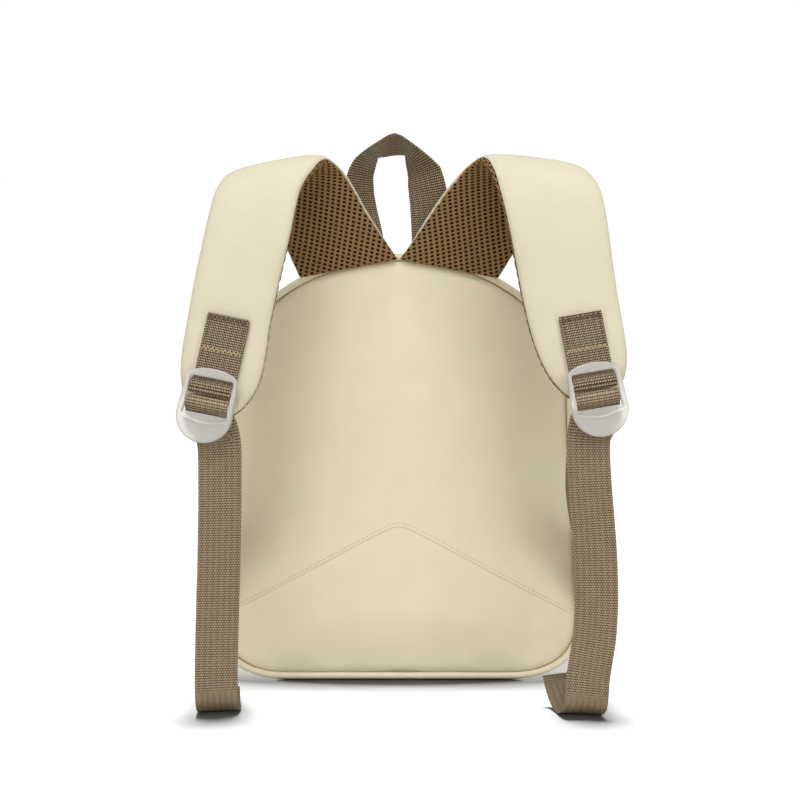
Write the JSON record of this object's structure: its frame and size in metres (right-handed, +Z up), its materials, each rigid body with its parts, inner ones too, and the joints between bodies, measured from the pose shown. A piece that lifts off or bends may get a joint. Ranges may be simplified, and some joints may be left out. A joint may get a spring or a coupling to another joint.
{
  "type": "toddler backpack",
  "caption": "Small rounded cloth backpack for a toddler, standing on its base, with padded mesh-backed shoulder straps, ladder-lock buckles, hanging webbing and a grab handle.",
  "frame": {"origin": "middle of the flat base, on the surface that the bag stands on", "axes": "+Z up, -Y towards the wearer's side with the straps, +X to the right as that side is seen"},
  "size_m": [0.2576, 0.2085, 0.3354],
  "materials": {
    "cream_cloth": "smooth fine-woven polyester cloth, cream",
    "cream_canvas": "matt canvas weave, cream",
    "cream_zip": "woven zip tape with a nylon coil, cream",
    "brown_mesh": "open air mesh, brown",
    "taupe_webbing": "ribbed polyester webbing, taupe brown",
    "frosted_plastic": "frosted translucent plastic, clear white"
  },
  "bodies": {
    "root": {"back_panel_upper": "cream_cloth", "back_panel_lower": "cream_cloth", "back_piping": "cream_cloth", "gusset": "cream_cloth", "zip": "cream_zip", "front_panel": "cream_cloth", "grab_handle": "taupe_webbing", "strap_cover_left": "cream_canvas", "strap_cover_right": "cream_canvas", "strap_mesh_left": "brown_mesh", "strap_mesh_right": "brown_mesh", "strap_webbing_left": "taupe_webbing", "strap_webbing_right": "taupe_webbing", "adjuster_webbing_left": "taupe_webbing", "adjuster_webbing_right": "taupe_webbing", "buckle_left": "frosted_plastic", "buckle_right": "frosted_plastic"}
  },
  "joints": []
}
